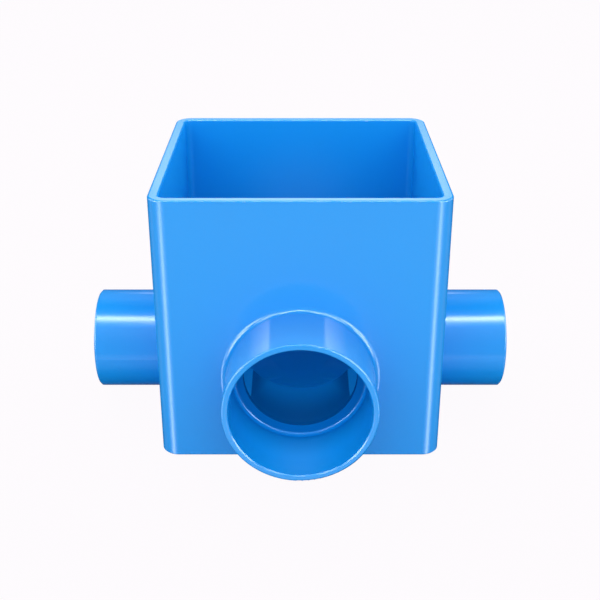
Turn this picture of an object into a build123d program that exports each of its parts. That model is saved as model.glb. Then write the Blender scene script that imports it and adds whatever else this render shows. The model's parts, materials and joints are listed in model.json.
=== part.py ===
from build123d import *
import os

os.makedirs("parts", exist_ok=True)

# Floor drain body, moulded in one piece. Millimetres.
# The origin is the centre of the underside: +X runs through the two inlets,
# the outlet socket points along -Y, and +Z is up towards the open top.

# Square box
box_width = 160.0
box_depth = 160.0
box_height = 155.0
box_wall = 5.6
corner_radius = 10.0
rim_edge_radius = 0.9
rim_inner_chamfer = 0.7
base_edge_chamfer = 0.6

# Outlet socket, which takes the drain pipe up to a stop ring
outlet_pipe_diameter = 76.0
outlet_pipe_clearance = 0.1
outlet_wall = 3.5
outlet_projection = 38.6
outlet_ground_gap = 9.0
stop_ring_height = 6.3
stop_ring_thickness = 3.0
stop_ring_fillet = 2.5
outlet_edge_radius = 0.9
outlet_lead_in = 0.7

# Inlet spigots, one on each side, with chamfered ends that enter a pipe fitting
inlet_diameter = 60.3
inlet_wall = 3.5
inlet_projection = 44.7
inlet_ground_gap = 5.0
inlet_end_chamfer = 0.9

# Fillet round the root of each port
port_root_fillet = 3.0

# Floor, with a dished sump in the middle where the flow channels meet
floor_corner_radius = 2.5
sump_dish_radius = 60.0
sump_drop = 1.0
sump_edge_radius = 1.0

# Worked out from the sizes above
outlet_bore_radius = outlet_pipe_diameter / 2 + outlet_pipe_clearance
outlet_outer_radius = outlet_bore_radius + outlet_wall
outlet_axis_height = outlet_ground_gap + outlet_outer_radius
outlet_throat_radius = outlet_bore_radius - stop_ring_height
outlet_socket_depth = outlet_projection + box_wall - stop_ring_thickness
inlet_outer_radius = inlet_diameter / 2
inlet_bore_radius = inlet_outer_radius - inlet_wall
inlet_axis_height = inlet_ground_gap + inlet_outer_radius

# The floor stands level with the inlet axis, so the channels from the inlets are half round.
floor_height = inlet_axis_height

# The dish reaches a little lower than the channels that run into it.
sump_bottom = inlet_axis_height - inlet_bore_radius - sump_drop

front_face = -box_depth / 2
stop_ring_face = front_face - outlet_projection + outlet_socket_depth
outlet_mouth = Plane(
    origin=(0, front_face - outlet_projection, outlet_axis_height), x_dir=(1, 0, 0), z_dir=(0, -1, 0)
)


def inlet_mouth(side):
    """End face of the inlet on the +X side (side = 1) or on the -X side (side = -1)."""
    return Plane(
        origin=(side * (box_width / 2 + inlet_projection), 0, inlet_axis_height),
        x_dir=(0, side, 0),
        z_dir=(side, 0, 0),
    )


def circles_at(part, axis, place):
    """Round edges of the part that lie in a plane across the axis."""
    return part.edges().filter_by(GeomType.CIRCLE).filter_by_position(axis, place, place)


with BuildPart() as drain_body:
    # Outer block of the box
    with BuildSketch():
        RectangleRounded(box_width, box_depth, corner_radius)
    extrude(amount=box_height)
    chamfer(drain_body.faces().sort_by(Axis.Z)[0].edges(), base_edge_chamfer)

    # Outer tubes of the three ports
    with BuildSketch(outlet_mouth):
        Circle(outlet_outer_radius)
    extrude(amount=-outlet_projection)
    for side in (1, -1):
        with BuildSketch(inlet_mouth(side)):
            Circle(inlet_outer_radius)
        extrude(amount=-inlet_projection)

    # Fillets at the roots of the tubes
    port_roots = (
        circles_at(drain_body, Axis.Y, front_face)
        + circles_at(drain_body, Axis.X, box_width / 2)
        + circles_at(drain_body, Axis.X, -box_width / 2)
    )
    fillet(port_roots, port_root_fillet)

    # Open inside of the box, down to the floor, with a rounded edge round the floor
    with BuildSketch(Plane.XY.offset(floor_height)):
        RectangleRounded(
            box_width - 2 * box_wall, box_depth - 2 * box_wall, corner_radius - box_wall
        )
    extrude(amount=box_height - floor_height, mode=Mode.SUBTRACT)
    floor_edges = drain_body.edges().filter_by_position(Axis.Z, floor_height, floor_height)
    fillet(floor_edges, floor_corner_radius)

    # Rounded outer edge and chamfered inner edge of the rim
    fillet(drain_body.faces().sort_by(Axis.Z)[-1].outer_wire().edges(), rim_edge_radius)
    chamfer(drain_body.faces().sort_by(Axis.Z)[-1].inner_wires()[0].edges(), rim_inner_chamfer)

    # Bores of the inlets and their channels across the floor
    with BuildSketch(inlet_mouth(1)):
        Circle(inlet_bore_radius)
    extrude(amount=-(box_width + 2 * inlet_projection), mode=Mode.SUBTRACT)

    # Throat of the outlet and its channel
    with BuildSketch(outlet_mouth):
        Circle(outlet_throat_radius)
    extrude(amount=-(outlet_projection + box_depth / 2), mode=Mode.SUBTRACT)

    # Dished sump, with a rounded edge where the outlet's channel leaves it
    with Locations((0, 0, sump_bottom + sump_dish_radius)):
        Sphere(sump_dish_radius, mode=Mode.SUBTRACT)
    channel_ends = drain_body.edges().filter_by(GeomType.BSPLINE).filter_by_position(
        Axis.Z, 0, floor_height
    )
    fillet(channel_ends.sort_by(Axis.Y)[0], sump_edge_radius)

    # Socket of the outlet, which ends at the rounded corner of the stop ring
    with BuildSketch(outlet_mouth):
        Circle(outlet_bore_radius)
    extrude(amount=-outlet_socket_depth, mode=Mode.SUBTRACT)
    stop_edges = circles_at(drain_body, Axis.Y, stop_ring_face)
    fillet(stop_edges.sort_by(SortBy.RADIUS)[-1], stop_ring_fillet)

    # Mouth of the outlet, with a rounded outer edge and a lead-in for the pipe
    fillet(drain_body.faces().sort_by(Axis.Y)[0].outer_wire().edges(), outlet_edge_radius)
    chamfer(drain_body.faces().sort_by(Axis.Y)[0].inner_wires()[0].edges(), outlet_lead_in)

    # Chamfered edges at the ends of the inlets
    inlet_end_edges = (
        drain_body.faces().sort_by(Axis.X)[0].edges() + drain_body.faces().sort_by(Axis.X)[-1].edges()
    )
    chamfer(inlet_end_edges, inlet_end_chamfer)

drain_body.part.label = "drain_body"
export_step(drain_body.part, "parts/drain_body.step")
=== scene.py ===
import json
from math import cos, radians, sin

import bmesh
import bpy
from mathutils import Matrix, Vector

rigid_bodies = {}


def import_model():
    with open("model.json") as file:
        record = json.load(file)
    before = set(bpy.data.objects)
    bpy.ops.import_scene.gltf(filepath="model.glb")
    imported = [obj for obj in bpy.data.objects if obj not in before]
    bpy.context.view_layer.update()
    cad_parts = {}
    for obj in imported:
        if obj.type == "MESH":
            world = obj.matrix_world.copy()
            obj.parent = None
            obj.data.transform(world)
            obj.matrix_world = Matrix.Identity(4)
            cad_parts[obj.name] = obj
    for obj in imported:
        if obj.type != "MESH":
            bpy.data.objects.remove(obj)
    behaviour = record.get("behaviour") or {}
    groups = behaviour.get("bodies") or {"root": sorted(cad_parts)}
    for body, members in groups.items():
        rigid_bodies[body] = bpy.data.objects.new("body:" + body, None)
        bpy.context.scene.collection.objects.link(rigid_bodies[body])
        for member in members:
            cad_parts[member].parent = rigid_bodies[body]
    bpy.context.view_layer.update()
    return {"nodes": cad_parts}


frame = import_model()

print("frame loaded:", len(frame["nodes"]), "node")


# Small helpers for node trees

def emptyTree(owner):
    owner.use_nodes = True
    owner.node_tree.nodes.clear()
    return owner.node_tree


def addNode(tree, kind, **settings):
    node = tree.nodes.new(kind)
    for name, value in settings.items():
        setattr(node, name, value)
    return node


def setInputs(node, values):
    for name, value in values.items():
        node.inputs[name].default_value = value


def setSurface(tree, shader, kind="ShaderNodeOutputMaterial"):
    tree.links.new(shader, addNode(tree, kind).inputs["Surface"])


# A math node between sources, each of them a socket or a number
def calculate(tree, operation, *sources):
    node = addNode(tree, "ShaderNodeMath", operation=operation)
    for socket, source in zip(node.inputs, sources):
        if isinstance(source, (int, float)):
            socket.default_value = source
        else:
            tree.links.new(source, socket)
    return node.outputs["Value"]


# The same operation over any number of sources, such as the product of masks
def combined(tree, operation, *sources):
    result = sources[0]
    for source in sources[1:]:
        result = calculate(tree, operation, result, source)
    return result


# How far a place is from an axis, given its offsets across and up
def distance(tree, across, up):
    squares = [calculate(tree, "MULTIPLY", source, source) for source in (across, up)]
    return calculate(tree, "SQRT", calculate(tree, "ADD", *squares))


# 0 at start and 1 at finish, with a smooth step between
def ramped(tree, source, start, finish):
    node = addNode(tree, "ShaderNodeMapRange", interpolation_type="SMOOTHSTEP")
    low, high = sorted((start, finish))
    setInputs(node, {"From Min": low, "From Max": high})
    setInputs(node, {"To Min": float(start > finish), "To Max": float(start < finish)})
    tree.links.new(source, node.inputs["Value"])
    return node.outputs["Result"]


# A level along an angle, with straight lines between points of (degrees, level)
def profile(tree, angle, points):
    start, finish = points[0][0], points[-1][0]
    peak = max(level for degrees, level in points)
    share = addNode(tree, "ShaderNodeMapRange")
    setInputs(share, {"From Min": radians(start), "From Max": radians(finish)})
    tree.links.new(angle, share.inputs["Value"])
    ramp = addNode(tree, "ShaderNodeValToRGB")
    tree.links.new(share.outputs["Result"], ramp.inputs["Fac"])
    stops = ramp.color_ramp.elements
    for degrees, level in points[1:-1]:
        stops.new((degrees - start) / (finish - start))
    for stop, (degrees, level) in zip(stops, points):
        stop.color = (level / peak, level / peak, level / peak, 1.0)
    return calculate(tree, "MULTIPLY", ramp.outputs["Color"], peak)


# Blue moulded plastic of the drain body, in metres

plasticLook = {
    "color": (0.003, 0.29, 0.8, 1.0),
    "cloudColor": (0.003, 0.278, 0.78, 1.0),
    "cloudSize": 22.0,        # per metre, slow change of colour
    "roughness": 0.17,
    "roughnessSpread": 0.04,
    "specular": 0.5,
    "ior": 1.5,
    "grainSize": 2600.0,      # per metre, fine texture of the mould
    "grainDepth": 0.000003,
    "edgeRadius": 0.0006,     # softens the shading of the sharp edges
    "insideRoughness": 0.35,  # the inside of the box and of the outlet is duller
    "insideSpecular": 0.3,
    "sumpPaintedShade": (0.001, 0.165, 0.5, 1.0),    # painted shade: darker blue in the sump, the inlets and the socket toward its stop ring
    "sumpSpecular": 0.03,
    "throatPaintedShade": (0.0, 0.07, 0.25, 1.0),    # painted shade: darker still in the outlet's throat and channel
    # Where these places are. A pair is a ramp, from where it starts to where it is full.
    "box": {"wall": 0.0747, "bottom": 0.001, "rim": 0.1545, "sump": (0.102, 0.085)},
    "outlet": {
        "height": 0.0506, "radius": 0.0384, "mouth": -0.1176,
        "ring": -0.0805, "stop": -0.0777, "channelEnd": 0.0,
        "shade": 0.75,        # how strongly painted shade darkens the socket toward the stop ring
        "shaded": (-0.104, -0.0805),
        "throatRadius": 0.0321,
        "near": (-0.03, -0.07), "far": (0.0, -0.035), "side": (0.016, 0.027),
    },
    "inlets": {"height": 0.03515, "radius": 0.0272, "bore": (0.1247, 0.085)},
}


# Masks for the inside of the box and the socket, its duller part, and the deep places and the throat where
# shade is painted into the colour
def insideMasks(tree, place, look):
    axes = addNode(tree, "ShaderNodeSeparateXYZ")
    tree.links.new(place, axes.inputs["Vector"])
    x, y, z = axes.outputs["X"], axes.outputs["Y"], axes.outputs["Z"]
    box, outlet, inlets = look["box"], look["outlet"], look["inlets"]

    def allOf(*masks):
        return combined(tree, "MULTIPLY", *masks)

    def largest(*sources):
        return combined(tree, "MAXIMUM", *sources)

    def less(source, limit):
        return calculate(tree, "LESS_THAN", source, limit)

    def more(source, limit):
        return calculate(tree, "GREATER_THAN", source, limit)

    away = calculate(tree, "ABSOLUTE", x)
    offCentre = largest(away, calculate(tree, "ABSOLUTE", y))
    inBox = allOf(less(offCentre, box["wall"]), less(z, box["rim"]), more(z, box["bottom"]))
    inSump = allOf(inBox, ramped(tree, z, *box["sump"]))

    fromAxis = distance(tree, x, calculate(tree, "SUBTRACT", z, outlet["height"]))
    inBore = less(fromAxis, outlet["radius"])
    inOutlet = allOf(inBore, less(y, outlet["stop"]), more(y, outlet["mouth"]))
    onRing = allOf(inOutlet, more(y, outlet["ring"]))
    inSocket = calculate(tree, "SUBTRACT", inOutlet, onRing)
    # Painted shade: the socket's colour darkens toward the stop ring
    shaded = allOf(inSocket, ramped(tree, y, *outlet["shaded"]), outlet["shade"])
    pastRing = allOf(inBore, more(y, outlet["stop"]), less(y, outlet["channelEnd"]))
    inThroat = allOf(pastRing, less(fromAxis, outlet["throatRadius"]), largest(
        ramped(tree, y, *outlet["near"]),
        allOf(ramped(tree, away, *outlet["side"]), ramped(tree, y, *outlet["far"]))))

    fromAxis = distance(tree, y, calculate(tree, "SUBTRACT", z, inlets["height"]))
    inInlets = allOf(less(fromAxis, inlets["radius"]), ramped(tree, away, *inlets["bore"]))

    inside = largest(inBox, inOutlet)
    dull = calculate(tree, "SUBTRACT", inside, onRing)
    return inside, dull, largest(inSump, pastRing, inInlets, shaded), inThroat


# A value that goes from one outside a mask to another inside it
def byPlace(tree, mask, outside, inside):
    node = addNode(tree, "ShaderNodeMix")
    tree.links.new(mask, node.inputs["Factor"])
    for name, value in (("A", outside), ("B", inside)):
        if isinstance(value, float):
            node.inputs[name].default_value = value
        else:
            tree.links.new(value, node.inputs[name])
    return node.outputs["Result"]


def makePlastic(look):
    material = bpy.data.materials.new("bluePlastic")
    tree = emptyTree(material)
    link = tree.links.new
    place = addNode(tree, "ShaderNodeTexCoord").outputs["Object"]

    clouds = addNode(tree, "ShaderNodeTexNoise")
    setInputs(clouds, {"Scale": look["cloudSize"], "Detail": 3.0, "Roughness": 0.5})
    link(place, clouds.inputs["Vector"])
    color = addNode(tree, "ShaderNodeMix", data_type="RGBA")
    color.inputs["A"].default_value = look["cloudColor"]
    color.inputs["B"].default_value = look["color"]
    link(clouds.outputs["Fac"], color.inputs["Factor"])

    gloss = addNode(tree, "ShaderNodeMapRange")
    setInputs(gloss, {
        "To Min": look["roughness"] - look["roughnessSpread"],
        "To Max": look["roughness"] + look["roughnessSpread"],
    })
    link(clouds.outputs["Fac"], gloss.inputs["Value"])

    grain = addNode(tree, "ShaderNodeTexNoise")
    setInputs(grain, {"Scale": look["grainSize"], "Detail": 2.0, "Roughness": 0.6})
    link(place, grain.inputs["Vector"])
    softEdges = addNode(tree, "ShaderNodeBevel", samples=6)
    setInputs(softEdges, {"Radius": look["edgeRadius"]})
    bump = addNode(tree, "ShaderNodeBump")
    setInputs(bump, {"Strength": 1.0, "Distance": look["grainDepth"]})
    link(grain.outputs["Fac"], bump.inputs["Height"])
    link(softEdges.outputs["Normal"], bump.inputs["Normal"])

    inside, dull, deep, inThroat = insideMasks(tree, place, look)
    # Painted shade: the colour darkens in the sump, the inlets, the socket and the throat, standing in for
    # shade that the light leaves out
    for mask, name in ((deep, "sumpPaintedShade"), (inThroat, "throatPaintedShade")):
        deepened = addNode(tree, "ShaderNodeMix", data_type="RGBA")
        deepened.inputs["B"].default_value = look[name]
        link(mask, deepened.inputs["Factor"])
        link(color.outputs["Result"], deepened.inputs["A"])
        color = deepened

    shader = addNode(tree, "ShaderNodeBsdfPrincipled")
    setInputs(shader, {"IOR": look["ior"]})
    link(color.outputs["Result"], shader.inputs["Base Color"])
    roughness = byPlace(tree, dull, gloss.outputs["Result"], look["insideRoughness"])
    link(roughness, shader.inputs["Roughness"])
    specular = byPlace(tree, inside, look["specular"], look["insideSpecular"])
    specular = byPlace(tree, deep, specular, look["sumpSpecular"])
    link(specular, shader.inputs["Specular IOR Level"])
    link(bump.outputs["Normal"], shader.inputs["Normal"])
    setSurface(tree, shader.outputs["BSDF"])
    return material


drainBody = frame["nodes"]["drain_body"]
drainBody.material_slots[0].material = makePlastic(plasticLook)
print("drain body: plastic")


# Pale floor, white to the camera, which keeps a faint shadow

floorLook = {
    "size": 12.0,
    "color": (0.43, 0.43, 0.44, 1.0),
    "backgroundColor": (1.0, 0.975, 1.0, 1.0),
    "shadowShare": 0.03,      # how much of the real shading the camera sees
}


# 1 for rays of the camera, of mirrors and of glass, 0 for the light's own
def seenRays(tree):
    path = addNode(tree, "ShaderNodeLightPath")
    kinds = ("Is Camera Ray", "Is Glossy Ray", "Is Transmission Ray")
    return combined(tree, "MAXIMUM", *(path.outputs[kind] for kind in kinds))


# 1 for rays that reach here from the camera by way of glossy surfaces alone, at most so many of them
def mirrorRays(tree, most=9):
    path = addNode(tree, "ShaderNodeLightPath")
    few = calculate(tree, "LESS_THAN", path.outputs["Glossy Depth"], most + 0.5)    # whole counts
    straight = calculate(tree, "LESS_THAN", path.outputs["Diffuse Depth"], 0.5)
    return combined(tree, "MULTIPLY", path.outputs["Is Glossy Ray"], few, straight)


# A new object with the mesh that build makes, and the empty tree of its one material
def addPiece(name, materialName, build):
    mesh = bpy.data.meshes.new(name)
    shape = bmesh.new()
    build(shape)
    shape.to_mesh(mesh)
    shape.free()
    piece = bpy.data.objects.new(name, mesh)
    bpy.context.collection.objects.link(piece)
    material = bpy.data.materials.new(materialName)
    mesh.materials.append(material)
    return piece, emptyTree(material)


def makeFloor(look):
    floor, tree = addPiece("floor", "floorWhite", lambda shape: bmesh.ops.create_grid(
        shape, x_segments=1, y_segments=1, size=look["size"] / 2))
    floor.visible_glossy = False    # the gloss shows the studio's own lower half instead

    link = tree.links.new
    diffuse = addNode(tree, "ShaderNodeBsdfDiffuse")
    diffuse.inputs["Color"].default_value = look["color"]
    white = addNode(tree, "ShaderNodeEmission")
    setInputs(white, {"Color": look["backgroundColor"], "Strength": 1.0})
    mix = addNode(tree, "ShaderNodeMixShader")
    link(calculate(tree, "MULTIPLY", seenRays(tree), 1.0 - look["shadowShare"]), mix.inputs["Fac"])
    link(diffuse.outputs["BSDF"], mix.inputs[1])
    link(white.outputs["Emission"], mix.inputs[2])
    setSurface(tree, mix.outputs["Shader"])


makeFloor(floorLook)
print("floor: made")


# Soft studio light: azimuths count from the front, elevations from the horizon, in degrees

studio = {
    "aim": Vector((0.0, 0.0, 0.08)),
    "softboxes": {
        "keySoftbox": {"azimuth": 0.0, "elevation": 35.0, "distance": 1.6, "width": 2.4, "height": 0.9,
                       "radiance": 0.8, "color": (1.0, 1.0, 1.0)},
        "backSoftbox": {"azimuth": 180.0, "elevation": 58.0, "distance": 1.6, "width": 2.4, "height": 0.9,
                        "radiance": 2.0, "color": (1.0, 1.0, 0.82)},
    },
    "soft": [(-90, 1.45), (46, 1.45), (62, 0.4), (90, 0.4)],    # light on the object, by elevation
    # What the gloss shows, by elevation, in front of the object and behind it
    "mirrorFront": [(-90, 0.03), (-70, 0.05), (-60, 0.1), (-34, 0.8), (-20, 1.5), (-14, 0.75), (5, 0.6),
                    (24, 0.6), (44, 1.0), (54, 1.6), (62, 2.2), (90, 0.7)],
    "mirrorBack": [(-90, 0.03), (-60, 0.1), (0, 0.12), (14, 0.12), (25, 0.22), (36, 0.45), (45, 0.6),
                   (60, 0.35), (78, 0.5), (90, 0.85)],
    "allFront": 100,    # azimuths between which the first goes over into the second
    "allBack": 150,
    # How much of both, by azimuth
    "mirrorAround": [(0, 1.0), (55, 1.0), (80, 0.5), (110, 0.5), (130, 0.15), (155, 0.15), (168, 1.0),
                     (180, 1.0)],
    # Bright patches on both sides, by azimuth and by elevation, for a ray's first mirror only
    "patches": {
        "strip": {
            "around": [(0, 0.0), (20, 0.0), (30, 0.5), (37, 1.0), (43, 1.0), (48, 0.5), (58, 0.1), (66, 0.0),
                       (180, 0.0)],
            "up": [(-90, 0.0), (-60, 0.0), (-45, 3.5), (-34, 8.0), (-20, 8.0), (-16, 3.0), (-6, 3.0),
                   (0, 15.0), (20, 15.0), (30, 0.0), (90, 0.0)],
        },
        "high": {
            "around": [(0, 0.8), (12, 0.85), (22, 1.0), (60, 1.0), (80, 0.6), (110, 0.0), (180, 0.0)],
            "up": [(-90, 0.0), (58, 0.0), (62, 4.0), (66, 13.0), (69.5, 22.0), (71.5, 22.0), (73.5, 6.0),
                   (75.5, 0.0), (90, 0.0)],
        },
        "halfway": {
            "around": [(0, 0.0), (27, 0.0), (36, 1.0), (86, 1.0), (96, 0.0), (180, 0.0)],
            "up": [(-90, 0.0), (34, 0.0), (40, 8.0), (54, 8.0), (60, 0.0), (90, 0.0)],
        },
        "front": {
            "around": [(0, 1.0), (9, 1.0), (14, 0.0), (180, 0.0)],
            "up": [(-90, 0.0), (53, 0.0), (56, 9.0), (64, 9.0), (68, 0.0), (90, 0.0)],
        },
        "side": {
            "around": [(0, 0.0), (56, 0.0), (62, 1.0), (78, 1.0), (84, 0.3), (117, 0.3), (124, 0.0),
                       (180, 0.0)],
            "up": [(-90, 0.0), (-12, 0.0), (-5, 13.0), (20, 13.0), (28, 0.0), (90, 0.0)],
        },
        "behind": {
            "around": [(0, 0.0), (170.2, 0.0), (171.5, 1.0), (180, 1.0)],
            "up": [(-90, 0.0), (9, 0.0), (13, 0.35), (16.5, 0.45), (18, 2.6), (23, 2.6), (26, 0.0),
                   (90, 0.0)],
        },
    },
}


# Unit vector toward an azimuth and an elevation
def directionTo(azimuth, elevation):
    flat = cos(radians(elevation))
    return Vector((flat * sin(radians(azimuth)), -flat * cos(radians(azimuth)), sin(radians(elevation))))


# A soft area lamp that faces the aim point and shows in no mirror
def addSoftbox(name, look, aim):
    lamp = bpy.data.lights.new(name, "AREA")
    lamp.shape = "RECTANGLE"
    lamp.size = look["width"]
    lamp.size_y = look["height"]
    # An area lamp shows its power over four times its area
    lamp.energy = 4.0 * look["width"] * look["height"] * look["radiance"]
    lamp.color = look["color"]
    softbox = bpy.data.objects.new(name, lamp)
    bpy.context.collection.objects.link(softbox)
    toward = directionTo(look["azimuth"], look["elevation"])
    softbox.location = aim + toward * look["distance"]
    softbox.rotation_euler = toward.to_track_quat("Z", "Y").to_euler()
    softbox.visible_camera = False
    softbox.visible_glossy = False


def makeWorld(look):
    world = bpy.data.worlds.new("studioWorld")
    bpy.context.scene.world = world
    tree = emptyTree(world)
    link = tree.links.new
    direction = addNode(tree, "ShaderNodeSeparateXYZ")
    link(addNode(tree, "ShaderNodeTexCoord").outputs["Generated"], direction.inputs["Vector"])
    elevation = calculate(tree, "ARCSINE", direction.outputs["Z"])
    across = calculate(tree, "ABSOLUTE", direction.outputs["X"])
    forward = calculate(tree, "MULTIPLY", direction.outputs["Y"], -1.0)
    azimuth = calculate(tree, "ARCTAN2", across, forward)

    before = ramped(tree, azimuth, radians(look["allBack"]), radians(look["allFront"]))
    behind = calculate(tree, "SUBTRACT", 1.0, before)
    mirrored = calculate(
        tree, "ADD",
        calculate(tree, "MULTIPLY", before, profile(tree, elevation, look["mirrorFront"])),
        calculate(tree, "MULTIPLY", behind, profile(tree, elevation, look["mirrorBack"])))
    mirrored = calculate(tree, "MULTIPLY", mirrored, profile(tree, azimuth, look["mirrorAround"]))
    once = mirrorRays(tree, most=1)
    for patch in look["patches"].values():
        around, up = profile(tree, azimuth, patch["around"]), profile(tree, elevation, patch["up"])
        mirrored = calculate(tree, "ADD", mirrored, combined(tree, "MULTIPLY", around, up, once))

    strength = addNode(tree, "ShaderNodeMix")
    link(mirrorRays(tree), strength.inputs["Factor"])
    link(profile(tree, elevation, look["soft"]), strength.inputs["A"])
    link(mirrored, strength.inputs["B"])
    light = addNode(tree, "ShaderNodeBackground")
    link(strength.outputs["Result"], light.inputs["Strength"])
    light.inputs["Color"].default_value = (1.0, 1.0, 1.0, 1.0)

    backdrop = addNode(tree, "ShaderNodeBackground")
    setInputs(backdrop, {"Color": floorLook["backgroundColor"], "Strength": 1.0})
    path = addNode(tree, "ShaderNodeLightPath")
    seen = calculate(tree, "MAXIMUM", path.outputs["Is Camera Ray"], path.outputs["Is Transmission Ray"])
    mix = addNode(tree, "ShaderNodeMixShader")
    link(seen, mix.inputs["Fac"])
    link(light.outputs["Background"], mix.inputs[1])
    link(backdrop.outputs["Background"], mix.inputs[2])
    setSurface(tree, mix.outputs["Shader"], "ShaderNodeOutputWorld")


makeWorld(studio)
for name, look in studio["softboxes"].items():
    addSoftbox(name, look, studio["aim"])
print("studio: lit")


# One-sided glows that only the gloss sees. The front wall mirrors the shell round the outlet like bright
# floor, the outlet's end mirrors the patch of floor before it, and its top the card at the wall as two bands.

outletGlow = {
    "tubeRadius": 0.0416, "tubeHeight": 0.0506, "wall": -0.08,
    "shellFrom": -0.1186, "shellTo": -0.081, "shellGap": 0.0006, "shellLevel": 0.8,
    "floorWidth": 0.102, "floorFrom": -0.262, "floorTo": -0.128, "floorGap": 0.0005, "floorLevel": 1.1,
    "cardWidth": 0.12, "cardHeight": 0.076, "cardGap": 0.0008,
    # By angle round the tube, from a line a few degrees left of its top
    "bands": [(0, 0.45), (20.4, 0.45), (21.8, 1.55), (29, 0.95), (40, 0.3), (60, 0.1)],
    "turned": 2.6,
    # Share of that level at the tube itself, its growth per metre from there, and where it fades out
    "share": 0.5, "growth": 50.0, "fade": (0.074, 0.063),
}


# Adds light to the front side of a glow, in a ray's first mirror only
def finishGlow(glow, tree, level):
    link = tree.links.new
    behind = addNode(tree, "ShaderNodeNewGeometry").outputs["Backfacing"]
    before = calculate(tree, "SUBTRACT", 1.0, behind)
    light = addNode(tree, "ShaderNodeEmission")
    link(combined(tree, "MULTIPLY", before, level, mirrorRays(tree, most=1)), light.inputs["Strength"])
    both = addNode(tree, "ShaderNodeAddShader")
    link(addNode(tree, "ShaderNodeBsdfTransparent").outputs["BSDF"], both.inputs[0])
    link(light.outputs["Emission"], both.inputs[1])
    setSurface(tree, both.outputs["Shader"])
    glow.visible_camera = False
    glow.visible_diffuse = False
    glow.visible_transmission = False
    glow.visible_shadow = False


def addFloorGlow(look):
    def build(shape):
        size = (look["floorWidth"], look["floorTo"] - look["floorFrom"], 1.0)
        bmesh.ops.create_circle(shape, cap_ends=True, segments=64, radius=0.5)
        bmesh.ops.scale(shape, vec=size, verts=shape.verts)

    glow, tree = addPiece("floorGlow", "floorGlow", build)
    glow.location = (0.0, (look["floorFrom"] + look["floorTo"]) / 2, look["floorGap"])
    finishGlow(glow, tree, look["floorLevel"])


def addShell(look):
    radius = look["tubeRadius"] + look["shellGap"]
    depth = look["shellTo"] - look["shellFrom"]
    glow, tree = addPiece("outletShell", "outletShell", lambda shape: bmesh.ops.create_cone(
        shape, segments=96, radius1=radius, radius2=radius, depth=depth, cap_ends=False))
    glow.location = (0.0, (look["shellFrom"] + look["shellTo"]) / 2, look["tubeHeight"])
    glow.rotation_euler = (radians(90), 0.0, 0.0)
    finishGlow(glow, tree, look["shellLevel"])


# A place on this card shows in the tube at an angle that depends on its own angle and reach round the axis
def addBandCard(look):
    def build(shape):
        bmesh.ops.create_grid(shape, x_segments=1, y_segments=1, size=0.5)
        bmesh.ops.scale(shape, vec=(look["cardWidth"], look["cardHeight"], 1.0), verts=shape.verts)

    glow, tree = addPiece("outletCard", "outletCard", build)
    rise = look["cardHeight"] / 2
    glow.location = (0.0, look["wall"] - look["cardGap"], look["tubeHeight"] + rise)
    glow.rotation_euler = (radians(90), 0.0, 0.0)

    place = addNode(tree, "ShaderNodeSeparateXYZ")
    tree.links.new(addNode(tree, "ShaderNodeTexCoord").outputs["Object"], place.inputs["Vector"])
    across = place.outputs["X"]
    up = calculate(tree, "ADD", place.outputs["Y"], rise)
    reach = distance(tree, across, up)
    turn = calculate(tree, "SUBTRACT", 2.0, calculate(tree, "DIVIDE", look["tubeRadius"], reach))
    angle = calculate(tree, "DIVIDE", calculate(tree, "ARCTAN2", across, up), turn)
    angle = calculate(tree, "ABSOLUTE", calculate(tree, "ADD", angle, radians(look["turned"])))
    atAxis = look["share"] - look["growth"] * look["tubeRadius"]
    grown = calculate(tree, "MULTIPLY_ADD", reach, look["growth"], atAxis)
    bands = profile(tree, angle, look["bands"])
    finishGlow(glow, tree, combined(tree, "MULTIPLY", bands, grown, ramped(tree, reach, *look["fade"])))


addFloorGlow(outletGlow)
addShell(outletGlow)
addBandCard(outletGlow)
print("glows: set up")


# Camera at the photograph's viewing angle

cameraLook = {
    "place": (-0.0002, -0.57682, 0.33426),
    "tilt": 64.66,            # degrees from looking straight down
    "lens": 61.565,
    "sensor": 36.0,
    "nearest": 0.01,
}


def makeCamera(look):
    data = bpy.data.cameras.new("camera")
    data.sensor_fit = "HORIZONTAL"
    data.sensor_width = look["sensor"]
    data.lens = look["lens"]
    data.clip_start = look["nearest"]
    camera = bpy.data.objects.new("camera", data)
    bpy.context.collection.objects.link(camera)
    camera.location = look["place"]
    camera.rotation_euler = (radians(look["tilt"]), 0.0, 0.0)
    bpy.context.scene.camera = camera


makeCamera(cameraLook)
bpy.context.scene.view_settings.view_transform = "Standard"
print("camera: set")
